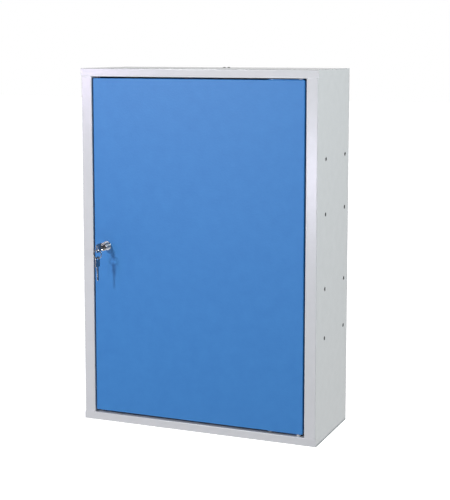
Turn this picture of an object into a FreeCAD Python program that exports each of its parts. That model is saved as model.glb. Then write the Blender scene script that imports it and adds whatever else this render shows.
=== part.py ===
# Wall tool cabinet: a folded steel carcass with an inset door on pivots, two shelves,
# and a cam lock with a key, a split ring and a spare key.
# X runs to the right as seen from the front, Y to the back and Z up, in millimetres.
# The origin is the middle of the back face, which lies on the wall.
import FreeCAD, Part
import Sketcher
import math
import os
import re
from FreeCAD import Placement, Rotation, Vector

# Driving sizes
SIZES = {
    # Whole cabinet
    "cabinet_width": 625,
    "cabinet_height": 900,
    "cabinet_depth": 250,
    # Carcass sheet: thickness, inside bend radius and the gap left at seams
    "carcass_sheet": 1,
    "carcass_bend": 1.2,
    "seam_gap": 0.2,
    "plate_overhang": 1.5,
    "stile_width": 28.5,
    "rail_height": 20.5,
    "stile_lip": 12,
    "rail_lip": 11,
    "back_flange": 18,
    "tray_flange": 15,
    "web_flange": 15,
    "web_flange_inset": 14,
    "web_edge_radius": 0.8,
    # Shelf holes: radius, rows down from the top, columns from the front and from the wall
    "peg_hole_radius": 5,
    "row_one": 212,
    "row_two": 345,
    "row_three": 526,
    "row_four": 647,
    "front_column": 65,
    "back_column": 31,
    # Wall holes
    "wall_hole_radius": 4.5,
    "wall_hole_side": 87.5,
    "wall_hole_drop": 100,
    # Caps in two holes of the top: place from the middle and from the wall, head and snap stem
    "cap_spread": 6,
    "cap_back": 50,
    "cap_head_radius": 3.2,
    "cap_head_height": 1.6,
    "cap_round": 0.8,
    "cap_stem_radius": 2.5,
    "cap_stem": 4,
    "cap_barb": 0.3,
    # Shelves
    "shelf_sheet": 1,
    "shelf_bend": 1,
    "shelf_setback": 46,
    "shelf_side_gap": 1.5,
    "shelf_back_gap": 1.6,
    "shelf_front_height": 25,
    "shelf_front_return": 12,
    "shelf_flange": 15,
    "shelf_edge_radius": 0.8,
    # Shelf clips
    "peg_radius": 4.9,
    "peg_recess": 0.3,
    "clip_width": 14,
    "clip_rise": 5.25,
    "clip_drop": 5.5,
    "clip_reach": 12,
    "clip_round": 4,
    # Door pan
    "door_side_gap": 4,
    "door_top_gap": 4,
    "door_bottom_gap": 7,
    "door_setback": 0.5,
    "door_thickness": 19,
    "door_stop_gap": 1.5,
    "door_sheet": 1,
    "door_edge_radius": 2,
    "door_lip": 14,
    # Stiffener inside the door
    "hat_brim": 12,
    "hat_half_width": 20,
    "hat_depth": 15,
    "hat_end_gap": 20,
    # Door buffers
    "buffer_radius": 4,
    "buffer_drop": 130,
    "buffer_inset": 7.5,
    "buffer_round": 0.6,
    "buffer_clearance": 0.3,
    # Pivots: place from the door's edge and face, pin, bush, strap and rivet
    "pivot_inset": 12,
    "pivot_depth": 10,
    "pin_radius": 3,
    "pin_head_radius": 6,
    "pin_head_height": 2,
    "pin_reach": 7,
    "pin_clearance": 0.06,
    "hole_clearance": 0.1,
    "bush_wall": 1.5,
    "bush_flange_radius": 5.5,
    "bush_tail": 2.5,
    "upper_bush_flange": 1.2,
    "running_gap": 0.2,
    "strap_sheet": 1.5,
    "strap_half_width": 7,
    "strap_overrun": 8,
    "strap_reach": 80,
    "strap_round": 3,
    "rivet_reach": 72,
    "rivet_forward": 3,
    "rivet_radius": 2.4,
    "rivet_head_radius": 4,
    "rivet_head_height": 1.8,
    "rivet_dome": 1.2,
    "rivet_tail_radius": 3.5,
    "rivet_tail_height": 1.6,
    # Lock: place on the door, head, barrel and nut
    "lock_inset": 34.5,
    "lock_rise": 5,
    "head_length": 22,
    "head_radius": 10,
    "collar_radius": 11.2,
    "collar_length": 3,
    "collar_edge": 1,
    "head_round": 1,
    "face_recess": 1.2,
    "face_rim": 3,
    "barrel_radius": 8.5,
    "barrel_half_flat": 7.8,
    "barrel_gap": 0.3,
    "barrel_clearance": 0.25,
    "nut_wall": 3,
    "nut_thickness": 4,
    # Turning plug, its keyway and its square tail
    "plug_radius": 6.5,
    "plug_clearance": 0.05,
    "keyway_clearance": 0.25,
    "keyway_spare": 4,
    "square_half": 3.5,
    "square_slack": 0.2,
    # Cam, washer and screw
    "cam_clear": 1.5,
    "cam_thickness": 2.5,
    "cam_reach": 36,
    "cam_half_width": 8,
    "cam_tip_round": 4,
    "washer_radius": 6,
    "washer_thickness": 1,
    "screw_radius": 2,
    "screw_length": 8,
    "screw_head_radius": 4,
    "screw_head_height": 2.6,
    "screw_head_round": 1.2,
    # Keys: bow, neck, blade, ring slot and bitting
    "key_thickness": 2,
    "key_gap": 0.5,
    "bow_length": 26,
    "bow_half": 11,
    "bow_round": 7.5,
    "neck_length": 10,
    "neck_half": 4.6,
    "neck_round": 2.5,
    "blade_length": 25,
    "blade_half": 3.8,
    "tip_half": 1.2,
    "tip_taper": 2.6,
    "slot_rim": 4,
    "slot_half": 5,
    "slot_radius": 2.5,
    "bite_first": 3.5,
    "bite_pitch": 3.4,
    "bite_half": 1.3,
    "bite_flat": 0.3,
    "bite_shallow": 0.9,
    "bite_deep": 1.8,
    "mill_depth": 0.5,
    "mill_half": 0.7,
    "mill_offset": 1.3,
    # Split ring: two turns of flat wire
    "ring_radius": 10,
    "wire_depth": 1.5,
    "wire_width": 0.95,
    "turn_pitch": 1.42,
    "step_half_angle": 15,
    "end_half_angle": 17,
    "ring_clearance": 0.45,
    "hang_clearance": 1.4,
}

# Places that follow from the sizes
PLACES = {
    "half_height": "cabinet_height / 2",
    "side_face": "cabinet_width / 2 - plate_overhang",
    "side_inner": "side_face - carcass_sheet",
    "opening_side": "side_face - stile_width",
    "opening_top": "half_height - rail_height",
    "door_face": "door_setback - cabinet_depth",
    "door_back": "door_face + door_thickness",
    "lip_front": "door_back + door_stop_gap",
    "lip_back": "lip_front + carcass_sheet",
    "panel_front": "-carcass_sheet",
    "web_top": "half_height - carcass_sheet",
    "wall_hole_across": "cabinet_width / 2 - wall_hole_side",
    "wall_hole_up": "half_height - wall_hole_drop",
    "web_front": "carcass_sheet + seam_gap - cabinet_depth",
    "bend_zone": "carcass_bend + carcass_sheet",
    "front_peg": "front_column - cabinet_depth",
    "back_peg": "-back_column",
    "shelf_back": "-2 * carcass_sheet - shelf_back_gap",
    "shelf_front": "shelf_setback - cabinet_depth",
    "shelf_half": "side_inner - shelf_side_gap",
    "upper_shelf_row": "half_height - row_two",
    "lower_shelf_row": "half_height - row_four",
    "shelf_rise": "clip_rise + shelf_flange",
    "door_half": "opening_side - door_side_gap",
    "door_top": "opening_top - door_top_gap",
    "door_bottom": "door_bottom_gap - opening_top",
    "door_inside": "door_face + door_sheet",
    "pivot_across": "door_half - pivot_inset",
    "pivot_back": "door_face + pivot_depth",
    "rivet_across": "pivot_across - rivet_reach",
    "rivet_back": "pivot_back - rivet_forward",
    "bush_radius": "pin_radius + pin_clearance + bush_wall",
    "lower_bush_flange": "door_bottom_gap - strap_sheet - running_gap",
    "lock_across": "lock_inset - door_half",
    "cam_front": "lip_back + cam_clear - door_face",
    "cam_back": "cam_front + cam_thickness",
    "barrel_end": "cam_front - barrel_gap",
    "nut_half_across": "barrel_radius + nut_wall",
    "plug_front": "face_recess - head_length",
    "square_end": "cam_back - square_slack",
    "keyway_half_width": "key_thickness / 2 + keyway_clearance",
    "keyway_half_height": "blade_half + keyway_clearance",
    "key_length": "neck_length + bow_length",
    "slot_middle": "slot_rim + slot_radius - key_length",
    "key_back": "door_face + plug_front - key_gap",
    "ring_back": "key_back + slot_middle",
    "ring_height": "lock_rise + ring_clearance - slot_half - ring_radius",
    "wire_height": "ring_height - ring_radius - wire_depth / 2",
    "spare_height": "wire_height + hang_clearance + slot_rim - key_length",
}

doc = FreeCAD.newDocument("wall_tool_cabinet")


def linked(formula):
    """Name the sheet of every size or place in a formula."""
    def with_sheet(word):
        name = word.group()
        if name in SIZES:
            return f"Sizes.{name}"
        return f"Places.{name}" if name in PLACES else name
    return re.sub(r"[a-z]\w*", with_sheet, formula)


def fill_sheet(label, rows):
    """Write one named value to each row of a new sheet."""
    sheet = doc.addObject("Spreadsheet::Sheet", label)
    for row, (name, text) in enumerate(rows.items(), 1):
        sheet.set(f"A{row}", name)
        sheet.set(f"B{row}", text)
        sheet.setAlias(f"B{row}", name)
    doc.recompute()
    return sheet


sizes = fill_sheet("Sizes", {name: str(value) for name, value in SIZES.items()})
places = fill_sheet("Places", {name: f"={linked(formula)}" for name, formula in PLACES.items()})


def amount(formula):
    """Give the number that a formula of sizes and places comes to."""
    return float(sizes.evalExpression(linked(formula)))


def point(across, up):
    return Vector(amount(across), amount(up), 0)


# Sketch and feature helpers

def new_body(label, across="0", back="0", height="0"):
    """Start a body whose own origin lies at the given place of the cabinet."""
    body = doc.addObject("PartDesign::Body", label)
    body.Label = label
    for axis, formula in zip("xyz", (across, back, height)):
        body.setExpression(f"Placement.Base.{axis}", linked(formula))
    return body


def new_sketch(body, plane, offset="0"):
    """Add a sketch on one of the body's own planes, moved along that plane's normal."""
    sketch = body.newObject("Sketcher::SketchObject", f"{body.Label}_sketch")
    support = next(item for item in body.Origin.OriginFeatures if item.Role == plane)
    sketch.AttachmentSupport = (support, [""])
    sketch.MapMode = "FlatFace"
    sketch.setExpression("AttachmentOffset.Base.z", linked(offset))
    return sketch


def bind(sketch, kind, formula, *ends):
    """Add a measured constraint whose value follows a formula."""
    index = sketch.addConstraint(Sketcher.Constraint(kind, *ends, amount(formula)))
    sketch.setExpression(f"Constraints[{index}]", linked(formula))


def tie(sketch, kind, *ends):
    sketch.addConstraint(Sketcher.Constraint(kind, *ends))


def fix_point(sketch, edge, end, across, up):
    bind(sketch, "DistanceX", across, -1, 1, edge, end)
    bind(sketch, "DistanceY", up, -1, 1, edge, end)


def polygon(sketch, corners):
    """Draw a closed outline of straight edges through the given corners."""
    points = [point(*corner) for corner in corners]
    ends = points[1:] + points[:1]
    edges = [sketch.addGeometry(Part.LineSegment(a, b), False) for a, b in zip(points, ends)]
    for edge, following, corner in zip(edges, edges[1:] + edges[:1], corners):
        tie(sketch, "Coincident", edge, 2, following, 1)
        fix_point(sketch, edge, 1, *corner)


def rectangle(sketch, left, right, low, high):
    polygon(sketch, [(left, low), (right, low), (right, high), (left, high)])


def circle(sketch, across, up, radius):
    round_edge = Part.Circle(point(across, up), Vector(0, 0, 1), amount(radius))
    edge = sketch.addGeometry(round_edge, False)
    fix_point(sketch, edge, 3, across, up)
    bind(sketch, "Radius", radius, edge)


def arc(sketch, centre, start, end):
    """Draw an arc that runs anticlockwise from start to end."""
    whole = Part.Circle(centre, Vector(0, 0, 1), (start - centre).Length)
    angles = [math.atan2(p.y - centre.y, p.x - centre.x) for p in (start, end)]
    return sketch.addGeometry(Part.ArcOfCircle(whole, *angles), False)


def flatted_circle(sketch, across, up, radius, half_flat):
    """Draw a circle with a flat on its left and on its right."""
    middle = point(across, up)
    flat = Vector(amount(half_flat), 0, 0)
    rise = Vector(0, math.sqrt(amount(radius) ** 2 - flat.x ** 2), 0)
    top = arc(sketch, middle, middle + flat + rise, middle - flat + rise)
    left = sketch.addGeometry(Part.LineSegment(middle - flat + rise, middle - flat - rise), False)
    low = arc(sketch, middle, middle - flat - rise, middle + flat - rise)
    right = sketch.addGeometry(Part.LineSegment(middle + flat - rise, middle + flat + rise), False)
    loop = [top, left, low, right]
    for edge, following in zip(loop, loop[1:] + loop[:1]):
        tie(sketch, "Coincident", edge, 2, following, 1)
    tie(sketch, "Coincident", top, 3, low, 3)
    fix_point(sketch, top, 3, across, up)
    bind(sketch, "Radius", radius, top)
    for line, sign in ((left, "-"), (right, "+")):
        tie(sketch, "Vertical", line)
        bind(sketch, "DistanceX", f"{across} {sign} ({half_flat})", -1, 1, line, 1)


def round_slot(sketch, across, low, high, radius):
    """Draw an upright slot with round ends centred on the two heights."""
    lower, upper = point(across, low), point(across, high)
    side = Vector(amount(radius), 0, 0)
    top = arc(sketch, upper, upper + side, upper - side)
    left = sketch.addGeometry(Part.LineSegment(upper - side, lower - side), False)
    bottom = arc(sketch, lower, lower - side, lower + side)
    right = sketch.addGeometry(Part.LineSegment(lower + side, upper + side), False)
    loop = [top, left, bottom, right]
    for edge, following in zip(loop, loop[1:] + loop[:1]):
        tie(sketch, "Tangent", edge, 2, following, 1)
    for edge, height in ((top, high), (bottom, low)):
        fix_point(sketch, edge, 3, across, height)
        bind(sketch, "Radius", radius, edge)


def folded_strip(sketch, corners, thickness, bend):
    """Draw the section of a folded sheet.

    The corners are where its drawn face would meet without bends. The sheet lies to the left
    of them, and each fold has the inside radius bend.
    """
    points = [point(*corner) for corner in corners]
    steps = [(b - a).normalize() for a, b in zip(points, points[1:])]
    lefts = [Vector(-step.y, step.x, 0) for step in steps]
    small, large = amount(bend), amount(bend) + amount(thickness)
    folds = range(1, len(corners) - 1)
    drawn_arcs = {}
    chains = []
    for face in (0, 1):
        shift = face * amount(thickness)
        chain = []
        begin = points[0] + lefts[0] * shift
        for fold in folds:
            before, after = lefts[fold - 1], lefts[fold]
            turns_left = steps[fold - 1].cross(steps[fold]).z > 0
            reach = large if turns_left else -small
            centre = points[fold] + (before + after) * reach
            outside = turns_left == (face == 0)
            radius = large if outside else small
            side = -radius if turns_left else radius
            arrive, leave = centre + before * side, centre + after * side
            chain.append((sketch.addGeometry(Part.LineSegment(begin, arrive), False), 1, 2))
            if turns_left:
                edge = arc(sketch, centre, arrive, leave)
            else:
                edge = arc(sketch, centre, leave, arrive)
            chain.append((edge, 1, 2) if turns_left else (edge, 2, 1))
            bind(sketch, "Radius", f"{bend} + {thickness}" if outside else bend, edge)
            if face:
                tie(sketch, "Coincident", edge, 3, drawn_arcs[fold], 3)
            else:
                drawn_arcs[fold] = edge
                sign = before + after
                far = f"({bend} + {thickness})" if turns_left else f"(-1 * {bend})"
                place = [f"{text} + ({value:.0f}) * {far}"
                         for text, value in zip(corners[fold], (sign.x, sign.y))]
                fix_point(sketch, edge, 3, *place)
            begin = leave
        finish = points[-1] + lefts[-1] * shift
        chain.append((sketch.addGeometry(Part.LineSegment(begin, finish), False), 1, 2))
        for (edge, _, leaves), (following, arrives, _) in zip(chain, chain[1:]):
            tie(sketch, "Tangent", edge, leaves, following, arrives)
        for step, (edge, _, _) in ((steps[0], chain[0]), (steps[-1], chain[-1])):
            tie(sketch, "Horizontal" if abs(step.x) > 0.5 else "Vertical", edge)
        chains.append(chain)
    for last, corner, step, end in ((0, corners[0], steps[0], 1), (-1, corners[-1], steps[-1], 2)):
        drawn, hidden = chains[0][last][0], chains[1][last][0]
        level = abs(step.x) > 0.5
        shift = lefts[last] * amount(thickness)
        place = points[last]
        cap = sketch.addGeometry(Part.LineSegment(place, place + shift), False)
        tie(sketch, "Coincident", cap, 1, drawn, end)
        tie(sketch, "Coincident", cap, 2, hidden, end)
        tie(sketch, "Vertical" if level else "Horizontal", cap)
        if level:
            bind(sketch, "DistanceX", corner[0], -1, 1, drawn, end)
        else:
            bind(sketch, "DistanceY", corner[1], -1, 1, drawn, end)


def pad(body, sketch, length, both_ways=False, backwards=False):
    """Add the sketched outline to the body, pushed out by the length."""
    feature = body.newObject("PartDesign::Pad", f"{body.Label}_pad")
    feature.Profile = sketch
    feature.SideType = "Symmetric" if both_ways else "One side"
    feature.Reversed = backwards
    feature.setExpression("Length", linked(length))
    doc.recompute()
    return feature


def pocket(body, sketch, length, backwards=False):
    """Cut the sketched outline out of the body, against the sketch's normal unless backwards."""
    before = body.Shape.Volume
    feature = body.newObject("PartDesign::Pocket", f"{body.Label}_pocket")
    feature.Profile = sketch
    feature.Reversed = backwards
    feature.setExpression("Length", linked(length))
    doc.recompute()
    if not feature.Shape.Volume < before:
        raise ValueError(f"a pocket of {body.Label} cuts nothing")
    return feature


def turned(body, sketch):
    """Add the sketched half section to the body, turned once round the sketch's upright axis."""
    feature = body.newObject("PartDesign::Revolution", f"{body.Label}_turned")
    feature.Profile = sketch
    feature.ReferenceAxis = (sketch, ["V_Axis"])
    feature.Angle = 360
    doc.recompute()
    return feature


def lies_at(edge, **where):
    """Say whether both ends of an edge lie at the given coordinates, each a formula."""
    near = 0.01
    ends = [vertex.Point for vertex in edge.Vertexes]
    return all(abs(getattr(end, axis) - amount(formula)) < near
               for end in ends for axis, formula in where.items())


def rounded(body, radius, *edges_at):
    """Round the edges that lie at any of the given places."""
    base = body.Tip
    names = [f"Edge{number}" for number, edge in enumerate(base.Shape.Edges, 1)
             if any(lies_at(edge, **where) for where in edges_at)]
    if not names:
        raise ValueError(f"{body.Label} has no edge to round there")
    feature = body.newObject("PartDesign::Fillet", f"{body.Label}_round")
    feature.Base = (base, names)
    feature.setExpression("Radius", linked(radius))
    doc.recompute()
    return feature


def group(label, members):
    """Make one piece of several like bodies."""
    compound = doc.addObject("Part::Compound", label)
    compound.Label = label
    compound.Links = members
    doc.recompute()
    return compound


# Carcass

def side(label, hand):
    """Fold one side: web and back flange at full height, then the stile between the rails."""
    left = hand < 0
    body = new_body(label)
    web = [(f"{hand} * (side_face - back_flange)", "panel_front"),
           (f"{hand} * side_face", "panel_front"),
           (f"{hand} * side_face", "web_front")]
    stile = [(f"{hand} * side_face", "2 * bend_zone - cabinet_depth"),
             (f"{hand} * side_face", "-cabinet_depth"),
             (f"{hand} * opening_side", "-cabinet_depth")]
    # The left lip turns in as the door stop, the right one turns out of the door edge's way
    if left:
        stile += [(f"{hand} * opening_side", "lip_front"),
                  (f"{hand} * (opening_side - stile_lip)", "lip_front")]
    else:
        stile += [(f"{hand} * opening_side", "lip_back"),
                  (f"{hand} * (opening_side + stile_lip)", "lip_back")]
    for corners, length in ((web, "2 * web_top"), (stile, "2 * (opening_top - seam_gap)")):
        sketch = new_sketch(body, "XY_Plane")
        folded_strip(sketch, corners if left else corners[::-1], "carcass_sheet", "carcass_bend")
        pad(body, sketch, length, both_ways=True)
    # Flanges under the top plate and over the bottom one
    for end in (1, -1):
        sketch = new_sketch(body, "XY_Plane", f"{end} * (web_top - carcass_sheet)")
        rectangle(sketch, f"{hand} * side_face", f"{hand} * (side_face - web_flange)",
                  "web_flange_inset - cabinet_depth", "-web_flange_inset")
        pad(body, sketch, "carcass_sheet", backwards=end < 0)
    rounded(body, "web_edge_radius",
            {"x": f"{hand} * side_face", "z": "web_top"}, {"x": f"{hand} * side_face", "z": "-web_top"})
    sketch = new_sketch(body, "YZ_Plane")
    for row in ("row_one", "row_two", "row_three", "row_four"):
        for column in ("front_peg", "back_peg"):
            circle(sketch, column, f"half_height - {row}", "peg_hole_radius")
    pocket(body, sketch, "cabinet_width", backwards=not left)
    return body


def tray(label, end):
    """Fold the top (end 1) or bottom (end -1) plate with its rail, return, lip and back flange."""
    body = new_body(label)
    corners = [("panel_front", f"{end} * (half_height - tray_flange)"),
               ("panel_front", f"{end} * half_height"),
               ("-cabinet_depth", f"{end} * half_height"),
               ("-cabinet_depth", f"{end} * opening_top"),
               ("lip_back", f"{end} * opening_top"),
               ("lip_back", f"{end} * (opening_top + rail_lip)")]
    sketch = new_sketch(body, "YZ_Plane")
    folded_strip(sketch, corners if end > 0 else corners[::-1], "carcass_sheet", "carcass_bend")
    pad(body, sketch, "cabinet_width", both_ways=True)
    # Notches that let the plate lie on the sides and the rail cover their front edges
    sketch = new_sketch(body, "XY_Plane", f"{end} * web_top")
    for hand in (1, -1):
        outer = f"{hand} * cabinet_width"
        beside = f"{hand} * (side_inner - seam_gap)"
        flange = f"{hand} * (side_face - back_flange - seam_gap)"
        step = "-2 * carcass_sheet - bend_zone"
        polygon(sketch, [(outer, "web_front - seam_gap"), (outer, "cabinet_depth"),
                         (flange, "cabinet_depth"), (flange, step),
                         (beside, step), (beside, "web_front - seam_gap")])
    pocket(body, sketch, "2 * rail_height", backwards=end < 0)
    sketch = new_sketch(body, "XY_Plane", f"{end} * (opening_top + bend_zone)")
    circle(sketch, "pivot_across", "pivot_back", "pin_radius + hole_clearance")
    pocket(body, sketch, "2 * bend_zone", backwards=end < 0)
    if end > 0:
        sketch = new_sketch(body, "XY_Plane", "half_height")
        for across in ("-cap_spread", "cap_spread"):
            circle(sketch, across, "-cap_back", "cap_stem_radius + hole_clearance")
        pocket(body, sketch, "2 * carcass_sheet")
    return body


def top_caps():
    """Mould the two caps that close the holes in the top: a low head and a stem that snaps in."""
    members = []
    barb = "cap_stem_radius + cap_barb"
    for across in ("-cap_spread", "cap_spread"):
        body = new_body(f"top_cap_{len(members) + 1}", across, "-cap_back", "half_height")
        sketch = new_sketch(body, "XZ_Plane")
        polygon(sketch, [("0", "-cap_stem"), ("cap_stem_radius - cap_barb", "-cap_stem"),
                         (barb, "-cap_stem / 2"), (barb, "-carcass_sheet - cap_barb"),
                         ("cap_stem_radius", "-carcass_sheet - cap_barb"), ("cap_stem_radius", "0"),
                         ("cap_head_radius", "0"), ("cap_head_radius", "cap_head_height"),
                         ("0", "cap_head_height")])
        turned(body, sketch)
        rounded(body, "cap_round", {"z": "cap_head_height"})
        members.append(body)
    return group("top_caps", members)


def back_panel():
    body = new_body("back_panel")
    sketch = new_sketch(body, "XZ_Plane")
    rectangle(sketch, "-side_face", "side_face", "-half_height", "half_height")
    for across in ("-wall_hole_across", "wall_hole_across"):
        for height in ("-wall_hole_up", "wall_hole_up"):
            circle(sketch, across, height, "wall_hole_radius")
    pad(body, sketch, "carcass_sheet")
    return body


def shelf(label, row):
    """Fold one shelf: boxed front edge, back flange down, and a flange down at each end."""
    body = new_body(label, height=f"{row} + shelf_rise")
    corners = [("shelf_back", "-shelf_flange"), ("shelf_back", "0"), ("shelf_front", "0"),
               ("shelf_front", "-shelf_front_height"),
               ("shelf_front + shelf_front_return", "-shelf_front_height")]
    sketch = new_sketch(body, "YZ_Plane")
    folded_strip(sketch, corners, "shelf_sheet", "shelf_bend")
    pad(body, sketch, "2 * shelf_half", both_ways=True)
    for hand in (1, -1):
        sketch = new_sketch(body, "YZ_Plane", f"{hand} * shelf_half")
        rectangle(sketch, "shelf_front + shelf_front_return", "shelf_back - shelf_front_return",
                  "-shelf_flange", "0")
        pad(body, sketch, "shelf_sheet", backwards=hand > 0)
    rounded(body, "shelf_edge_radius", {"x": "shelf_half", "z": "0"}, {"x": "-shelf_half", "z": "0"})
    return body


def shelf_clip(label, hand, column, row):
    """Mould one clip: a peg through the side's hole and a ledge that the shelf rests on."""
    body = new_body(label, f"{hand} * side_inner", column, row)
    sketch = new_sketch(body, "YZ_Plane")
    rectangle(sketch, "-clip_width / 2", "clip_width / 2", "-clip_drop", "clip_rise")
    pad(body, sketch, "clip_reach", backwards=hand > 0)
    rounded(body, "clip_round", {"y": "clip_width / 2", "z": "-clip_drop"},
            {"y": "-clip_width / 2", "z": "-clip_drop"})
    sketch = new_sketch(body, "YZ_Plane")
    circle(sketch, "0", "0", "peg_radius")
    pad(body, sketch, "carcass_sheet - peg_recess", backwards=hand < 0)
    return body


def shelf_clips(label, row):
    members = []
    for hand in (-1, 1):
        for column in ("front_peg", "back_peg"):
            members.append(shelf_clip(f"{label}_{len(members) + 1}", hand, column, row))
    return group(label, members)


def hinge_pin(label, end):
    """Turn a headed pivot pin: its head lies on the rail's return, its shank reaches into the door."""
    body = new_body(label, "pivot_across", "pivot_back", f"{end} * (opening_top + carcass_sheet)")
    reach = "carcass_sheet + door_top_gap + pin_reach" if end > 0 else \
        "carcass_sheet + door_bottom_gap + pin_reach"
    sketch = new_sketch(body, "XZ_Plane")
    polygon(sketch, [("0", f"{-end} * ({reach})"), ("pin_radius", f"{-end} * ({reach})"),
                     ("pin_radius", "0"), ("pin_head_radius", "0"),
                     ("pin_head_radius", f"{end} * pin_head_height"), ("0", f"{end} * pin_head_height")])
    turned(body, sketch)
    return body


def door_buffers():
    """Two rubber pads on the left stop lip, just clear of the shut door."""
    members = []
    thickness = "(lip_front - door_back - buffer_clearance)"
    for height in ("opening_top - buffer_drop", "buffer_drop - opening_top"):
        body = new_body(f"door_buffer_{len(members) + 1}", "buffer_inset - opening_side",
                        "lip_front", height)
        sketch = new_sketch(body, "XZ_Plane")
        circle(sketch, "0", "0", "buffer_radius")
        pad(body, sketch, thickness)
        rounded(body, "buffer_round", {"y": f"-1 * {thickness}"})
        members.append(body)
    return group("door_buffers", members)


# Door

def door_skin():
    """Fold the door: a pan with rounded front edges and a lip all round its back."""
    body = new_body("door_skin")
    sketch = new_sketch(body, "XZ_Plane", "-door_back")
    rectangle(sketch, "-door_half", "door_half", "door_bottom", "door_top")
    pad(body, sketch, "door_thickness")
    edges = [{"x": across, "z": height} for across in ("-door_half", "door_half")
             for height in ("door_bottom", "door_top")]
    rounded(body, "door_edge_radius", {"y": "door_face"}, *edges)
    inside = "door_sheet - door_back"
    for inset, length, towards_front in (("door_sheet", "door_thickness - 2 * door_sheet", True),
                                         ("door_lip", "door_sheet", False)):
        sketch = new_sketch(body, "XZ_Plane", inside)
        rectangle(sketch, f"{inset} - door_half", f"door_half - {inset}",
                  f"door_bottom + {inset}", f"door_top - {inset}")
        pocket(body, sketch, length, backwards=towards_front)
    rounded(body, "door_edge_radius - door_sheet", {"y": "door_inside"})
    sketch = new_sketch(body, "XZ_Plane", "-door_back")
    flatted_circle(sketch, "lock_across", "lock_rise", "barrel_radius + barrel_clearance",
                   "barrel_half_flat + barrel_clearance")
    pocket(body, sketch, "door_thickness", backwards=True)
    # Holes for the bush and the rivet in the top and bottom walls
    for height, upwards in (("door_top - 2 * door_sheet", True), ("door_bottom + 2 * door_sheet", False)):
        sketch = new_sketch(body, "XY_Plane", height)
        circle(sketch, "pivot_across", "pivot_back", "bush_radius + hole_clearance")
        circle(sketch, "rivet_across", "rivet_back", "rivet_radius + hole_clearance")
        pocket(body, sketch, "3 * door_sheet", backwards=upwards)
    return body


def door_stiffener():
    """Roll the hat channel that stands upright behind the middle of the door."""
    body = new_body("door_stiffener", back="door_inside", height="(door_top + door_bottom) / 2")
    brim = "hat_half_width + hat_brim"
    sketch = new_sketch(body, "XY_Plane")
    folded_strip(sketch, [(f"-1 * ({brim})", "0"), ("-hat_half_width", "0"), ("-hat_half_width", "hat_depth"),
                          ("hat_half_width", "hat_depth"), ("hat_half_width", "0"), (brim, "0")],
                 "door_sheet", "door_sheet")
    pad(body, sketch, "door_top - door_bottom - 2 * (door_lip + hat_end_gap)", both_ways=True)
    return body


def hinge_strap(label, end):
    """Cut the strap that lies on the door's top (end 1) or bottom (end -1) wall."""
    height = "door_top" if end > 0 else "door_bottom"
    body = new_body(label, "pivot_across", "pivot_back", height)
    sketch = new_sketch(body, "XY_Plane")
    rectangle(sketch, "-strap_reach", "strap_overrun", "-strap_half_width", "strap_half_width")
    circle(sketch, "0", "0", "bush_radius + hole_clearance")
    circle(sketch, "-rivet_reach", "-rivet_forward", "rivet_radius + hole_clearance")
    pad(body, sketch, "strap_sheet", backwards=end < 0)
    rounded(body, "strap_round", *[{"x": across, "y": back} for across in ("-strap_reach", "strap_overrun")
                                   for back in ("-strap_half_width", "strap_half_width")])
    return body


def hinge_bush(label, end):
    """Turn the nylon bush: a barrel through strap and door wall, and a flange on the strap."""
    height = "door_top + strap_sheet" if end > 0 else "door_bottom - strap_sheet"
    flange = "upper_bush_flange" if end > 0 else "lower_bush_flange"
    body = new_body(label, "pivot_across", "pivot_back", height)
    bore = "pin_radius + pin_clearance"
    tail = f"{-end} * (strap_sheet + door_sheet + bush_tail)"
    sketch = new_sketch(body, "XZ_Plane")
    polygon(sketch, [(bore, tail), ("bush_radius", tail), ("bush_radius", "0"), ("bush_flange_radius", "0"),
                     ("bush_flange_radius", f"{end} * {flange}"), (bore, f"{end} * {flange}")])
    turned(body, sketch)
    return body


def hinge_rivets():
    """One domed rivet through each strap and door wall, closed inside the door."""
    members = []
    for end, height in ((1, "door_top"), (-1, "door_bottom")):
        body = new_body(f"hinge_rivet_{len(members) + 1}", "rivet_across", "rivet_back", height)
        tail = f"{-end} * door_sheet"
        tail_end = f"{-end} * (door_sheet + rivet_tail_height)"
        seat = f"{end} * strap_sheet"
        crown = f"{end} * (strap_sheet + rivet_head_height)"
        sketch = new_sketch(body, "XZ_Plane")
        polygon(sketch, [("0", tail_end), ("rivet_tail_radius", tail_end), ("rivet_tail_radius", tail),
                         ("rivet_radius", tail), ("rivet_radius", seat), ("rivet_head_radius", seat),
                         ("rivet_head_radius", crown), ("0", crown)])
        turned(body, sketch)
        rounded(body, "rivet_dome", {"z": crown})
        members.append(body)
    return group("hinge_rivets", members)


# Lock, on its own axis with its origin on the door's front face

def lock_piece(label):
    return new_body(label, "lock_across", "door_face", "lock_rise")


def lock_body():
    """Turn the lock's housing: a bevelled collar on the door, a drum head and a flatted barrel behind."""
    body = lock_piece("lock_body")
    bore = "plug_radius + plug_clearance"
    sketch = new_sketch(body, "XY_Plane")
    polygon(sketch, [(bore, "plug_front"), ("head_radius - face_rim", "plug_front"),
                     ("head_radius - face_rim", "-head_length"), ("head_radius", "-head_length"),
                     ("head_radius", "-collar_length"), ("collar_radius", "-collar_edge"),
                     ("collar_radius", "0"), ("barrel_radius", "0"), ("barrel_radius", "barrel_end"),
                     (bore, "barrel_end")])
    turned(body, sketch)
    rounded(body, "head_round", {"y": "-head_length", "x": "head_radius"},
            {"y": "-collar_edge", "x": "collar_radius"})
    # Flats along the barrel that keep it from turning in the door
    sketch = new_sketch(body, "XZ_Plane")
    for hand in (1, -1):
        rectangle(sketch, f"{hand} * barrel_half_flat", f"{hand} * 2 * barrel_radius",
                  "-barrel_radius", "barrel_radius")
    pocket(body, sketch, "barrel_end")
    return body


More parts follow.
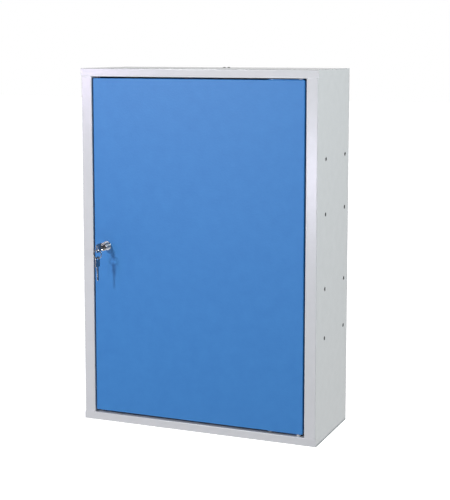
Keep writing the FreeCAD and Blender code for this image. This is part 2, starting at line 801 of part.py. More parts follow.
def lock_nut():
    """Mill the hexagon nut that holds the lock against the inside of the skin."""
    body = lock_piece("lock_nut")
    corner = "(nut_half_across * 2 / sqrt(3))"
    sketch = new_sketch(body, "XZ_Plane", "-door_sheet")
    polygon(sketch, [("nut_half_across", f"-{corner} / 2"), ("nut_half_across", f"{corner} / 2"),
                     ("0", corner), ("-nut_half_across", f"{corner} / 2"),
                     ("-nut_half_across", f"-{corner} / 2"), ("0", f"-{corner}")])
    circle(sketch, "0", "0", "barrel_radius + barrel_clearance")
    pad(body, sketch, "nut_thickness", backwards=True)
    return body


def lock_plug():
    """Turn the plug, mill its square tail and keyway, and drill it for the cam's screw."""
    body = lock_piece("lock_plug")
    sketch = new_sketch(body, "XZ_Plane", "-plug_front")
    circle(sketch, "0", "0", "plug_radius")
    pad(body, sketch, "cam_front - plug_front", backwards=True)
    sketch = new_sketch(body, "XZ_Plane", "-cam_front")
    rectangle(sketch, "-square_half", "square_half", "-square_half", "square_half")
    pad(body, sketch, "square_end - cam_front", backwards=True)
    sketch = new_sketch(body, "XZ_Plane", "-plug_front")
    rectangle(sketch, "-keyway_half_width", "keyway_half_width", "-keyway_half_height", "keyway_half_height")
    pocket(body, sketch, "blade_length + keyway_spare")
    sketch = new_sketch(body, "XZ_Plane", "-square_end")
    circle(sketch, "0", "0", "screw_radius + hole_clearance")
    pocket(body, sketch, "screw_length", backwards=True)
    return body


def lock_cam():
    """Stamp the cam: it hangs from the plug's square and swings up behind the stop lip."""
    body = lock_piece("lock_cam")
    square = "square_half + hole_clearance"
    sketch = new_sketch(body, "XZ_Plane", "-cam_front")
    rectangle(sketch, "-cam_half_width", "cam_half_width", "-cam_reach", "cam_half_width")
    rectangle(sketch, f"-1 * ({square})", square, f"-1 * ({square})", square)
    pad(body, sketch, "cam_thickness", backwards=True)
    rounded(body, "cam_tip_round", {"x": "cam_half_width", "z": "-cam_reach"},
            {"x": "-cam_half_width", "z": "-cam_reach"})
    rounded(body, "cam_tip_round", {"x": "cam_half_width", "z": "cam_half_width"},
            {"x": "-cam_half_width", "z": "cam_half_width"})
    return body


def cam_washer():
    body = lock_piece("cam_washer")
    sketch = new_sketch(body, "XZ_Plane", "-cam_back")
    circle(sketch, "0", "0", "washer_radius")
    circle(sketch, "0", "0", "screw_radius + hole_clearance")
    pad(body, sketch, "washer_thickness", backwards=True)
    return body


def cam_screw():
    body = lock_piece("cam_screw")
    tip = "square_end - screw_length + square_slack"
    seat = "cam_back + washer_thickness"
    crown = f"{seat} + screw_head_height"
    sketch = new_sketch(body, "XY_Plane")
    polygon(sketch, [("0", tip), ("screw_radius", tip), ("screw_radius", seat),
                     ("screw_head_radius", seat), ("screw_head_radius", crown), ("0", crown)])
    turned(body, sketch)
    rounded(body, "screw_head_round", {"y": crown, "x": "screw_head_radius"})
    return body


# Keys and ring

def key(label, across, back, height):
    """Stamp one key in its own upright plane: bow and neck in front of the shoulder, blade behind."""
    body = new_body(label, across, back, height)
    blade = [("0", "-blade_half")]
    cuts = ("bite_deep", "bite_shallow", "bite_deep", "bite_shallow", "bite_deep")
    for number, depth in enumerate(cuts):
        middle = f"bite_first + {number} * bite_pitch"
        blade += [(f"{middle} - bite_half", "-blade_half"),
                  (f"{middle} - bite_flat", f"{depth} - blade_half"),
                  (f"{middle} + bite_flat", f"{depth} - blade_half"),
                  (f"{middle} + bite_half", "-blade_half")]
    blade += [("blade_length - tip_taper", "-blade_half"), ("blade_length", "-tip_half"),
              ("blade_length", "tip_half"), ("blade_length - tip_taper", "blade_half"), ("0", "blade_half")]
    bow = [("0", "neck_half"), ("-neck_length", "neck_half"), ("-neck_length", "bow_half"),
           ("-key_length", "bow_half"), ("-key_length", "-bow_half"), ("-neck_length", "-bow_half"),
           ("-neck_length", "-neck_half"), ("0", "-neck_half")]
    sketch = new_sketch(body, "YZ_Plane")
    polygon(sketch, blade + bow)
    pad(body, sketch, "key_thickness", both_ways=True)
    sides = ("bow_half", "-bow_half")
    rounded(body, "bow_round", *[{"y": "-key_length", "z": side} for side in sides])
    rounded(body, "neck_round", *[{"y": "-neck_length", "z": side} for side in sides])
    rounded(body, "neck_round", *[{"y": "-neck_length", "z": side} for side in ("neck_half", "-neck_half")])
    sketch = new_sketch(body, "YZ_Plane", "key_thickness")
    round_slot(sketch, "slot_middle", "slot_radius - slot_half", "slot_half - slot_radius", "slot_radius")
    pocket(body, sketch, "2 * key_thickness")
    # Milled groove along one face of the blade
    sketch = new_sketch(body, "YZ_Plane", "key_thickness / 2")
    rectangle(sketch, "-neck_length / 2", "blade_length - tip_taper",
              "mill_offset - mill_half", "mill_offset + mill_half")
    pocket(body, sketch, "mill_depth")
    return body


def spare_key():
    """The same key, hung by its bow with the blade straight down."""
    body = key("spare_key", "lock_across", "ring_back", "spare_height")
    body.Placement.Rotation = Rotation(Vector(1, 0, 0), -90)
    doc.recompute()
    return body


def split_ring():
    """Wind the ring: two flat turns side by side, joined by a short step from one to the other."""
    middle = amount("ring_radius + wire_depth / 2")
    pitch = amount("turn_pitch")
    step_half = math.radians(amount("step_half_angle"))
    end_half = math.radians(amount("end_half_angle"))
    quarters = 4
    turn = 2 * math.pi

    def on_ring(angle, side):
        return Vector(middle * math.sin(angle), side * pitch / 2, middle * math.cos(angle))

    def along(angle):
        return Vector(math.cos(angle), 0, -math.sin(angle))

    def flat_turn(first, last, side):
        marks = [first + (last - first) * share / quarters for share in range(quarters + 1)]
        return [Part.Arc(on_ring(a, side), on_ring((a + b) / 2, side), on_ring(b, side)).toShape()
                for a, b in zip(marks, marks[1:])]

    def step(first, last):
        """Join the turns by two arcs that meet half way with one tangent."""
        start, finish = on_ring(first, -1), on_ring(last, 1)
        leaving, arriving = along(first), along(last)
        chord = finish - start
        both = leaving + arriving
        square = 2 * (1 - leaving.dot(arriving))
        slope = chord.dot(both)
        reach = (math.sqrt(slope ** 2 + square * chord.dot(chord)) - slope) / square
        meet = (start + leaving * reach + finish - arriving * reach) * 0.5
        tangent = (finish - arriving * reach - start - leaving * reach).normalize()
        arcs = []
        for a, b, heading in ((start, meet, leaving), (meet, finish, tangent)):
            across = b - a
            toward = (across - heading * across.dot(heading)).normalize()
            radius = across.dot(across) / (2 * across.dot(toward))
            centre = a + toward * radius
            outward = ((a + b) * 0.5 - centre).normalize()
            arcs.append(Part.Arc(a, centre + outward * radius, b).toShape())
        return arcs

    edges = flat_turn(end_half, turn - step_half, -1)
    edges += step(turn - step_half, turn + step_half)
    edges += flat_turn(turn + step_half, 2 * turn - end_half, 1)
    start, radial = on_ring(end_half, -1), on_ring(end_half, 0).normalize() * amount("wire_depth / 2")
    axial = Vector(0, amount("wire_width / 2"), 0)
    section = Part.makePolygon([start + radial + axial, start + radial - axial,
                                start - radial - axial, start - radial + axial, start + radial + axial])
    shell = Part.BRepOffsetAPI.MakePipeShell(Part.Wire(edges))
    shell.add(section)
    shell.build()
    shell.makeSolid()

    # Least gap between the two turns, on points along their facing sides
    samples = 40
    first_turn = [p for edge in edges[:quarters] for p in edge.discretize(samples)]
    second_turn = [p for edge in edges[-quarters:] for p in edge.discretize(samples)]
    least = min((a - b).Length for a in first_turn for b in second_turn) - amount("wire_width")
    print(f"split ring: least gap between its turns {least:.2f} mm")
    ring = doc.addObject("Part::Feature", "split_ring")
    ring.Label = "split_ring"
    ring.Shape = shell.shape()
    ring.Placement = Placement(Vector(amount("lock_across"), amount("ring_back"), amount("ring_height")),
                               Rotation())
    return ring


pieces = [
    side("left_side", -1),
    side("right_side", 1),
    tray("top_tray", 1),
    tray("bottom_tray", -1),
    back_panel(),
    top_caps(),
    shelf("upper_shelf", "upper_shelf_row"),
    shelf("lower_shelf", "lower_shelf_row"),
    shelf_clips("upper_shelf_clips", "upper_shelf_row"),
    shelf_clips("lower_shelf_clips", "lower_shelf_row"),
    hinge_pin("upper_hinge_pin", 1),
    hinge_pin("lower_hinge_pin", -1),
    door_buffers(),
    door_skin(),
    door_stiffener(),
    hinge_strap("upper_hinge_strap", 1),
    hinge_strap("lower_hinge_strap", -1),
    hinge_bush("upper_hinge_bush", 1),
    hinge_bush("lower_hinge_bush", -1),
    hinge_rivets(),
    lock_body(),
    lock_nut(),
    lock_plug(),
    lock_cam(),
    cam_washer(),
    cam_screw(),
    key("key_in_lock", "lock_across", "key_back", "lock_rise"),
    split_ring(),
    spare_key(),
]

# Nothing is written unless every feature is sound
doc.recompute()
for item in doc.Objects:
    if "Invalid" in item.State or "Error" in item.State:
        raise ValueError(f"{item.Label} failed: {item.State}")
for piece in pieces:
    if piece.Shape.isNull() or not piece.Shape.isValid():
        raise ValueError(f"{piece.Label} has no sound shape")

os.makedirs("parts", exist_ok=True)
for piece in pieces:
    piece.Shape.exportStep(f"parts/{piece.Label}.step")
    print(piece.Label, len(piece.Shape.Solids), round(piece.Shape.Volume, 1))
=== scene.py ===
import math
import bmesh
import bpy
import numpy as np
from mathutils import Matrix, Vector


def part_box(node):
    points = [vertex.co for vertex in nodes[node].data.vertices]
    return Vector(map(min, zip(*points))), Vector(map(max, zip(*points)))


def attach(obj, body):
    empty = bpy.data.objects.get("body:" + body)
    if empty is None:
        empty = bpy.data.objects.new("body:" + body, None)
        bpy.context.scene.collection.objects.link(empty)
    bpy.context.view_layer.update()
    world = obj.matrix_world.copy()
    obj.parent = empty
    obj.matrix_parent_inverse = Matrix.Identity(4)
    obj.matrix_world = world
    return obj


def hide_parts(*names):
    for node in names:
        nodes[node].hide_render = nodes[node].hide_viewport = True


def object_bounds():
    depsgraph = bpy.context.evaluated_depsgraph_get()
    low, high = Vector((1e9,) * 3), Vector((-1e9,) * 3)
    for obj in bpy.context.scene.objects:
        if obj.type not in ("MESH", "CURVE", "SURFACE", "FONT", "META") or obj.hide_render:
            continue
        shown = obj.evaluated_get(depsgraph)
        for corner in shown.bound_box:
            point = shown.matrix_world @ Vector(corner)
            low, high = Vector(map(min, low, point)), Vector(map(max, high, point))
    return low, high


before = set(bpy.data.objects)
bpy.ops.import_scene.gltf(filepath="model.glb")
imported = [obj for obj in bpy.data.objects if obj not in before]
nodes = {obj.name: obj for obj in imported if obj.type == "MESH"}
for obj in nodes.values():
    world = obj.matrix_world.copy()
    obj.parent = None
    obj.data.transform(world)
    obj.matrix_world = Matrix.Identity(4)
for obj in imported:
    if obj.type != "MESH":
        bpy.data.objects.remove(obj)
cad_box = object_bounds()

# Carcass: two folded sides, a top and a bottom tray with the rails, and a flat back.
# Mild steel sheet 1 mm thick, spot welded into a box and powder coated light grey,
# so the eye sees a semi-gloss skin with a faint orange peel and soft light on every fold.
MM = 0.001
GREY_BASE = "#C1C3C3"
GREY_CLOUD = "#C9CBCB"
GREY_ROUGHNESS = 0.22
POWDER_IOR = 1.5
CLOUD_SPACING = 26 * MM
CLOUD_DETAIL = 3.0
PEEL_SPACING = 5 * MM
PEEL_DEPTH = 0.25 * MM
PEEL_DETAIL = 1.5
PEEL_FADE = 0.4
GLOSS_SPREAD = 0.04
# Painted shade: the dark grey given to the walls of the holes in the sides
HOLE_SHADE_GREY = "#3A3B3D"
HOLES_MIDDLE = -108 * MM
HOLES_REACH = 90 * MM
ACROSS_LIMIT = 0.3


def linear(hex_colour):
    """Turn an sRGB hex colour into linear red, green, blue and alpha."""
    parts = np.array([int(hex_colour[i:i + 2], 16) for i in (1, 3, 5)]) / 255
    light = np.where(parts <= 0.04045, parts / 12.92, ((parts + 0.055) / 1.055) ** 2.4)
    return (*light.tolist(), 1.0)


def add_node(owner, kind, inputs, **settings):
    """Add one node, set its own settings, then set each input or link it to another node's output."""
    node = owner.node_tree.nodes.new(kind)
    for name, value in settings.items():
        setattr(node, name, value)
    for socket, value in inputs.items():
        if isinstance(value, bpy.types.NodeSocket):
            owner.node_tree.links.new(value, node.inputs[socket])
        else:
            node.inputs[socket].default_value = value
    return node


def new_finish(name):
    """Start an empty material and give it with its Object coordinates."""
    material = bpy.data.materials.new(name)
    material.use_nodes = True
    material.node_tree.nodes.clear()
    place = add_node(material, "ShaderNodeTexCoord", {})
    return material, place.outputs["Object"]


def end_finish(material, shader):
    """Lead a shader to the material's surface and give the material."""
    add_node(material, "ShaderNodeOutputMaterial", {"Surface": shader.outputs["BSDF"]})
    return material


def paint_hole_shade(material, place, coat):
    """Paint shade on the walls of the holes: a dark grey that makes the holes look shaded inside.

    They are the faces that look across X in the strip along Y that the holes lie in.
    """
    normal = add_node(material, "ShaderNodeTexCoord", {})
    facing = add_node(material, "ShaderNodeSeparateXYZ", {"Vector": normal.outputs["Normal"]})
    along = add_node(material, "ShaderNodeSeparateXYZ", {"Vector": place})
    across = add_node(material, "ShaderNodeMath",
                      {0: facing.outputs["X"], 1: 0.0, 2: ACROSS_LIMIT}, operation="COMPARE")
    strip = add_node(material, "ShaderNodeMath",
                     {0: along.outputs["Y"], 1: HOLES_MIDDLE, 2: HOLES_REACH}, operation="COMPARE")
    wall = add_node(material, "ShaderNodeMath",
                    {0: across.outputs[0], 1: strip.outputs[0]}, operation="MULTIPLY")
    return add_node(material, "ShaderNodeMix",
                    {"Factor": wall.outputs[0], "A": coat.outputs["Result"], "B": linear(HOLE_SHADE_GREY)},
                    data_type="RGBA")


def powder_coat(name, base, cloud, roughness, shaded_holes=False):
    """Baked polyester powder: slightly cloudy in tone, with an orange peel of small soft bumps.

    The real peel is about 1 mm from bump to bump and is drawn coarser, so that it shows.
    """
    material, place = new_finish(name)
    drift = add_node(material, "ShaderNodeTexNoise",
                     {"Vector": place, "Scale": 1 / CLOUD_SPACING, "Detail": CLOUD_DETAIL})
    tone = add_node(material, "ShaderNodeMix",
                    {"Factor": drift.outputs["Fac"], "A": linear(base), "B": linear(cloud)},
                    data_type="RGBA")
    # Painted shade: the hole walls turn dark grey
    if shaded_holes:
        tone = paint_hole_shade(material, place, tone)
    peel = add_node(material, "ShaderNodeTexNoise",
                    {"Vector": place, "Scale": 1 / PEEL_SPACING, "Detail": PEEL_DETAIL,
                     "Roughness": PEEL_FADE})
    bumps = add_node(material, "ShaderNodeBump",
                     {"Height": peel.outputs["Fac"], "Distance": PEEL_DEPTH, "Strength": 1.0})
    gloss = add_node(material, "ShaderNodeMapRange",
                     {"Value": peel.outputs["Fac"], "To Min": roughness - GLOSS_SPREAD,
                      "To Max": roughness + GLOSS_SPREAD})
    shader = add_node(material, "ShaderNodeBsdfPrincipled",
                      {"Base Color": tone.outputs["Result"], "Roughness": gloss.outputs["Result"],
                       "Normal": bumps.outputs["Normal"], "IOR": POWDER_IOR})
    return end_finish(material, shader)


def dress(material, *names):
    """Give CAD nodes a finish."""
    for name in names:
        nodes[name].data.materials.clear()
        nodes[name].data.materials.append(material)


grey_coat = powder_coat("light_grey_powder_coat", GREY_BASE, GREY_CLOUD, GREY_ROUGHNESS)
dress(grey_coat, "top_tray", "bottom_tray", "back_panel")
# The sides' coat has painted shade on the walls of their holes.
hole_shaded_coat = powder_coat("light_grey_powder_coat_hole_shade", GREY_BASE, GREY_CLOUD, GREY_ROUGHNESS,
                           shaded_holes=True)
dress(hole_shaded_coat, "left_side", "right_side")

# Spot welds of the carcass: the round marks that the electrodes leave along the back flanges.
# Each is a shallow dish with a raised lip, in the sheet itself and under the same grey coat.
WELD_RADIUS = 3.2 * MM
WELD_LIP = 0.18 * MM
WELD_STEP = 100 * MM
WELD_SIDES = 20
# Half section of a mark in shares of its radius and its lip: flat back, wall, lip and dish
WELD_SECTION = np.array([[0, -0.2], [1.0, -0.2], [1.0, 0.0], [0.88, 1.0], [0.72, 1.0],
                         [0.5, 0.2], [0, 0.17]])
FLANGE_MIDDLE = 9 * MM
FLANGE_FACE = 2 * MM
MERGE_DISTANCE = 0.001 * MM
SHARP_ANGLE = math.radians(40)


def grid_faces(rows, columns, close_rows=False, close_columns=False):
    """Number the four corners of every cell of a grid, joined to its own start where it closes."""
    index = np.arange(rows * columns).reshape(rows, columns)
    index = np.vstack([index, index[:1]]) if close_rows else index
    index = np.hstack([index, index[:, :1]]) if close_columns else index
    corners = [index[:-1, :-1], index[:-1, 1:], index[1:, 1:], index[1:, :-1]]
    return np.stack(corners, -1).reshape(-1, 4)


def closed_mesh(name, points, faces):
    """Put points and faces into a mesh, close its seams and poles, and turn its faces outwards."""
    mesh = bpy.data.meshes.new(name)
    mesh.from_pydata(points.reshape(-1, 3).tolist(), [], [list(face) for face in faces])
    shape = bmesh.new()
    shape.from_mesh(mesh)
    bmesh.ops.remove_doubles(shape, verts=shape.verts, dist=MERGE_DISTANCE)
    bmesh.ops.recalc_face_normals(shape, faces=shape.faces)
    if shape.calc_volume(signed=True) < 0:
        bmesh.ops.reverse_faces(shape, faces=shape.faces)
    shape.to_mesh(mesh)
    shape.free()
    return mesh


def new_piece(name, points, faces, material, body, slot, *replaced):
    """Make a shown piece, smooth but for its sharp edges, with its finish and its body. The slot is not
    used.
    """
    mesh = closed_mesh(name, points, faces)
    mesh.shade_smooth()
    mesh.set_sharp_from_angle(angle=SHARP_ANGLE)
    mesh.materials.append(material)
    piece = bpy.data.objects.new(name, mesh)
    bpy.context.scene.collection.objects.link(piece)
    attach(piece, body)
    if replaced:
        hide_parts(*replaced)


def full_turn(count):
    """Give even angles round a full turn."""
    return np.arange(count) * 2 * np.pi / count


def spot_welds(name, places, facing, material, body, slot):
    """Repeat one weld mark, its half section turned round Y, at each place and facing along Y."""
    radius = WELD_SECTION[:, 0, None] * WELD_RADIUS
    height = WELD_SECTION[:, 1, None] * WELD_LIP
    turn = full_turn(WELD_SIDES)[None, :]
    mark = np.stack([radius * np.cos(turn), facing * height + 0 * turn, radius * np.sin(turn)], -1)
    points = np.asarray(places)[:, None, None, :] + mark[None]
    count = mark.shape[0] * mark.shape[1]
    cells = grid_faces(*mark.shape[:2], close_columns=True)
    faces = (cells[None] + count * np.arange(len(points))[:, None, None]).reshape(-1, 4)
    new_piece(name, points, faces, material, body, slot)


side_low, side_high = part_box("left_side")
flange_z = np.arange(side_low.z + WELD_STEP / 2, side_high.z, WELD_STEP)
flange_x = np.arange(side_low.x + WELD_STEP, 0, WELD_STEP)
flange_x = np.concatenate([flange_x, -flange_x])
flange_side = side_low.x + FLANGE_MIDDLE
flange_end = side_low.z + FLANGE_MIDDLE
side_marks = [(hand * flange_side, -FLANGE_FACE, z) for hand in (1, -1) for z in flange_z]
tray_marks = [(x, -FLANGE_FACE, end * flange_end) for end in (1, -1) for x in flange_x]
spot_welds("carcass_spot_welds", side_marks + tray_marks, -1, grey_coat, "carcass", "carcass_paint")

# Corner welds of the front frame: short seams that join the stiles to the rails, ground and coated.
# Each fills the groove beside the rail's fold and stands a little proud, so it shows as a pale line.
STILE_WIDTH = 28.5 * MM
RAIL_HEIGHT = 20.5 * MM
FOLD_RADIUS = 2.2 * MM
SEAM_RISE = 0.7 * MM
SEAM_HALF = 1.5 * MM
SEAM_THICK = 0.6 * MM
SEAM_PROUD = 0.2 * MM
SEAM_STEPS = 33
SEAM_SIDES = 16
SEAM_TAPER = 12


def corner_seams():
    """Sweep a flat ellipse along each joint and let it shrink to nothing at both ends."""
    top_low, top_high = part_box("top_tray")
    share = np.linspace(0, 1, SEAM_STEPS)[None, :, None]
    size = np.sqrt(1 - np.abs(2 * share - 1) ** SEAM_TAPER)
    spin = full_turn(SEAM_SIDES)[None, None, :]
    corner = np.array([(hand, end) for hand in (-1, 1) for end in (-1, 1)])
    hand, end = corner[:, 0, None, None], corner[:, 1, None, None]
    run = STILE_WIDTH - 2 * FOLD_RADIUS
    x = -hand * (side_low.x + FOLD_RADIUS + share * run) + 0 * spin
    middle = top_high.z - RAIL_HEIGHT + SEAM_RISE
    z = end * (middle + SEAM_HALF * size * np.cos(spin))
    y = top_low.y - SEAM_PROUD + SEAM_THICK + SEAM_THICK * size * np.sin(spin) + 0 * hand
    points = np.stack(np.broadcast_arrays(x, y, z), -1)
    cells = grid_faces(SEAM_STEPS, SEAM_SIDES, close_columns=True)
    first = SEAM_STEPS * SEAM_SIDES * np.arange(len(corner))
    return points, (cells[None] + first[:, None, None]).reshape(-1, 4)


new_piece("front_corner_welds", *corner_seams(), grey_coat, "carcass", "carcass_paint")

# Shelves: two folded steel trays in the same grey coat, loose on four clips each.
# Their front edge is boxed, so the coat shows one soft line along each fold.
dress(grey_coat, "upper_shelf", "lower_shelf")

# Shelf clips and top caps: pegs pressed into the holes of the sides with a ledge inside for the
# shelves, and two buttons that close holes in the top near the wall. All are moulded in black
# polyamide: slightly waxy, with a fine spark-eroded grain from the mould.
CLIP_COLOUR = "#141415"
CLIP_SHADE = "#1B1B1D"
CLIP_ROUGHNESS = 0.6
GRAIN_SPACING = 0.5 * MM
GRAIN_DEPTH = 0.02 * MM
GRAIN_DETAIL = 2.0
GRAIN_STRENGTH = 0.5
WAXY_GLOSS = 0.1


def moulded_plastic(name, base, shade, roughness):
    """Plain moulded plastic or rubber with the mould's fine grain and a slight drift of tone."""
    material, place = new_finish(name)
    grain = add_node(material, "ShaderNodeTexNoise",
                     {"Vector": place, "Scale": 1 / GRAIN_SPACING, "Detail": GRAIN_DETAIL})
    tone = add_node(material, "ShaderNodeMix",
                    {"Factor": grain.outputs["Fac"], "A": linear(base), "B": linear(shade)},
                    data_type="RGBA")
    bumps = add_node(material, "ShaderNodeBump",
                     {"Height": grain.outputs["Fac"], "Distance": GRAIN_DEPTH,
                      "Strength": GRAIN_STRENGTH})
    shader = add_node(material, "ShaderNodeBsdfPrincipled",
                      {"Base Color": tone.outputs["Result"], "Roughness": roughness,
                       "Normal": bumps.outputs["Normal"], "Specular IOR Level": WAXY_GLOSS})
    return end_finish(material, shader)


black_polyamide = moulded_plastic("black_polyamide", CLIP_COLOUR, CLIP_SHADE, CLIP_ROUGHNESS)
dress(black_polyamide, "upper_shelf_clips", "lower_shelf_clips", "top_caps")

# Hinge pins: two headed pivots turned from bright steel, dropped through the rails' returns.
# Zinc plated and clear passivated: a cool grey metal with a faint blue and yellow cloud.
ZINC_COOL = "#C9CDD0"
ZINC_WARM = "#C4C1B4"
ZINC_CLOUD = 6 * MM
ZINC_ROUGHNESS = 0.32
FILM_DETAIL = 3.0
FILM_SPREAD = 0.3


def plated_metal(name, cool, warm, spacing, roughness, turned_walls=False):
    """Electroplated metal: bright, with patches of film on it that shift its tone and its gloss.

    On turned walls, lathe marks round the Y axis draw highlights out along it, and ends are polished.
    """
    material, place = new_finish(name)
    film = add_node(material, "ShaderNodeTexNoise",
                    {"Vector": place, "Scale": 1 / spacing, "Detail": FILM_DETAIL})
    tone = add_node(material, "ShaderNodeMix",
                    {"Factor": film.outputs["Fac"], "A": linear(cool), "B": linear(warm)},
                    data_type="RGBA")
    if turned_walls:
        surface = lathe_marks(material, roughness)
    else:
        gloss = add_node(material, "ShaderNodeMapRange",
                         {"Value": film.outputs["Fac"], "To Min": roughness * (1 - FILM_SPREAD),
                          "To Max": roughness * (1 + FILM_SPREAD)})
        surface = {"Roughness": gloss.outputs["Result"]}
    shader = add_node(material, "ShaderNodeBsdfPrincipled",
                      {"Base Color": tone.outputs["Result"], "Metallic": 1.0, **surface})
    return end_finish(material, shader)


zinc = plated_metal("zinc_plated_steel", ZINC_COOL, ZINC_WARM, ZINC_CLOUD, ZINC_ROUGHNESS)
dress(zinc, "upper_hinge_pin", "lower_hinge_pin")

# Door buffers: two small rubber pads glued to the stop lip of the left stile.
# Black moulded rubber, matt, with a bloom of paler dust in its grain.
RUBBER_COLOUR = "#1B1B1C"
RUBBER_BLOOM = "#2A2A2B"
RUBBER_ROUGHNESS = 0.75
black_rubber = moulded_plastic("black_rubber", RUBBER_COLOUR, RUBBER_BLOOM, RUBBER_ROUGHNESS)
dress(black_rubber, "door_buffers")

# Door: a pan folded from 1 mm steel with rounded edges, and a hat channel welded up its middle.
# Powder coated light blue inside and out, more matt than the carcass and deeper in colour.
BLUE_BASE = "#2370B3"
BLUE_CLOUD = "#2D7ABB"
BLUE_ROUGHNESS = 0.52
BRIM_INSET = 6 * MM
DOOR_SHEET = 1.0 * MM
blue_coat = powder_coat("light_blue_powder_coat", BLUE_BASE, BLUE_CLOUD, BLUE_ROUGHNESS)
dress(blue_coat, "door_skin", "door_stiffener")
channel_low, channel_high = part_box("door_stiffener")
brim_x = (channel_low.x + BRIM_INSET, channel_high.x - BRIM_INSET)
brim_z = np.arange(channel_low.z + WELD_STEP / 4, channel_high.z, WELD_STEP)
brim_marks = [(x, channel_low.y + DOOR_SHEET, z) for x in brim_x for z in brim_z]
spot_welds("door_spot_welds", brim_marks, 1, blue_coat, "door", "door_paint")

# Door hinges: a steel strap riveted to the top and bottom wall of the pan and coated with it.
# Each holds a nylon bush that turns on the pin in the rail, and its rivet head is bare zinc.
NYLON_COLOUR = "#CFD0CD"
NYLON_SHADE = "#C5C6C2"
NYLON_ROUGHNESS = 0.42
natural_nylon = moulded_plastic("natural_nylon", NYLON_COLOUR, NYLON_SHADE, NYLON_ROUGHNESS)
dress(blue_coat, "upper_hinge_strap", "lower_hinge_strap")
dress(zinc, "hinge_rivets")
dress(natural_nylon, "upper_hinge_bush", "lower_hinge_bush")

# Lock housing: a zinc die casting with a bevelled collar, a drum head and a threaded, flatted barrel.
# Turned before it was chrome plated, so fine marks round its axis draw each highlight out along the
# drum. It goes through the door, and its collar hides the skin's cut edge.
CHROME_BRIGHT = "#D6D3CD"
CHROME_DIM = "#CCC9C3"
CHROME_CLOUD = 14 * MM
HEAD_LENGTH = 22 * MM
HEAD_RADIUS = 10 * MM
COLLAR_LENGTH = 3 * MM
COLLAR_EDGE = 1 * MM
COLLAR_RADIUS = 11.2 * MM
FACE_RECESS = 1.2 * MM
FACE_RIM = 3 * MM
BORE_RADIUS = 6.55 * MM
BARREL_RADIUS = 8.5 * MM
BARREL_HALF_FLAT = 7.8 * MM
THREAD_PITCH = 1.0 * MM
THREAD_DEPTH = 0.55 * MM
THREAD_START = 1.2 * MM
THREAD_ROW = THREAD_PITCH / 6
HEAD_ROUNDS = np.array([0.2, 0.3, 1.0, 0.3, 0.4, 0.2, 0.1]) * MM
TURN_STEPS = 96
POLISHED = 0.10
TURNED = 0.46
END_FACING = -0.95
WALL_FACING = -0.7
MARKS_STRENGTH = 0.95
MARKS_TURN = 0.25


def lathe_marks(material, roughness):
    """Give shader inputs that stretch highlights along Y on walls round it and polish the end faces."""
    facing = add_node(material, "ShaderNodeTexCoord", {})
    along_axis = add_node(material, "ShaderNodeSeparateXYZ", {"Vector": facing.outputs["Normal"]})
    wall = add_node(material, "ShaderNodeMapRange",
                    {"Value": along_axis.outputs["Y"], "From Min": END_FACING, "From Max": WALL_FACING,
                     "To Min": POLISHED, "To Max": roughness})
    marks = add_node(material, "ShaderNodeTangent", {}, direction_type="RADIAL", axis="Y")
    return {"Roughness": wall.outputs["Result"], "Tangent": marks.outputs["Tangent"],
            "Anisotropic": MARKS_STRENGTH, "Anisotropic Rotation": MARKS_TURN}


def softened(corners, setback, steps=5):
    """Replace each corner of an open line by a curve between points set back along its two edges.

    The curve is the parabola (1-s)^2 A + 2 s (1-s) B + s^2 C of the corner B and those points A and C.
    """
    corners = np.asarray(corners, float)
    before, middle, after = corners[:-2], corners[1:-1], corners[2:]
    back, on = before - middle, after - middle
    reach = np.broadcast_to(np.asarray(setback, float), len(middle))[:, None]
    start = middle + back / np.linalg.norm(back, axis=1, keepdims=True) * reach
    finish = middle + on / np.linalg.norm(on, axis=1, keepdims=True) * reach
    s = np.linspace(0, 1, steps)[None, :, None]
    curves = (1 - s) ** 2 * start[:, None] + 2 * s * (1 - s) * middle[:, None] + s ** 2 * finish[:, None]
    return np.vstack([corners[:1], curves.reshape(-1, 2), corners[-1:]])


def turned(radius, along, turn, axis_x, axis_z):
    """Carry a half section round an axis along Y: its radius goes round, its place along stays."""
    return np.stack([axis_x + radius * np.cos(turn), along + 0 * turn, axis_z + radius * np.sin(turn)], -1)


housing_low, housing_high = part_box("lock_body")
lock_x = (housing_low.x + housing_high.x) / 2
lock_z = (housing_low.z + housing_high.z) / 2
door_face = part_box("door_skin")[0].y
barrel_end = housing_high.y - door_face
face_floor = FACE_RECESS - HEAD_LENGTH
rim_inside = HEAD_RADIUS - FACE_RIM
head_line = softened([(BORE_RADIUS, face_floor), (rim_inside, face_floor), (rim_inside, -HEAD_LENGTH),
                      (HEAD_RADIUS, -HEAD_LENGTH), (HEAD_RADIUS, -COLLAR_LENGTH),
                      (COLLAR_RADIUS, -COLLAR_EDGE), (COLLAR_RADIUS, 0), (BARREL_RADIUS, 0),
                      (BARREL_RADIUS, THREAD_START)], HEAD_ROUNDS)
thread_along = np.arange(THREAD_START + THREAD_ROW, barrel_end - THREAD_ROW, THREAD_ROW)
thread_line = np.stack([np.full_like(thread_along, BARREL_RADIUS), thread_along], -1)
bore_line = np.array([(BARREL_RADIUS - THREAD_DEPTH, barrel_end), (BORE_RADIUS, barrel_end)])
half_section = np.vstack([head_line, thread_line, bore_line])
turn = full_turn(TURN_STEPS)[None, :]
along = half_section[:, 1, None]
# The thread is a triangle wave in the radius that advances one pitch with each turn
wave = np.abs((along / THREAD_PITCH - turn / (2 * np.pi)) % 1 - 0.5) * 2
threaded = (along > THREAD_START) & (along < barrel_end - THREAD_ROW)
radius = half_section[:, 0, None] - np.where(threaded, THREAD_DEPTH * wave, 0)
housing = turned(radius, along, turn, 0, 0)
# The flats cut every point behind the collar back to their own width
half_width = np.where(along > 0, BARREL_HALF_FLAT, COLLAR_RADIUS)
housing[..., 0] = np.clip(housing[..., 0], -half_width, half_width)
housing += (lock_x, door_face, lock_z)
turned_chrome = plated_metal("chrome_on_turned_zinc", CHROME_BRIGHT, CHROME_DIM, CHROME_CLOUD, TURNED,
                             turned_walls=True)
new_piece("lock_housing", housing, grid_faces(*housing.shape[:2], True, True), turned_chrome,
          "door", "lock_chrome", "lock_body")

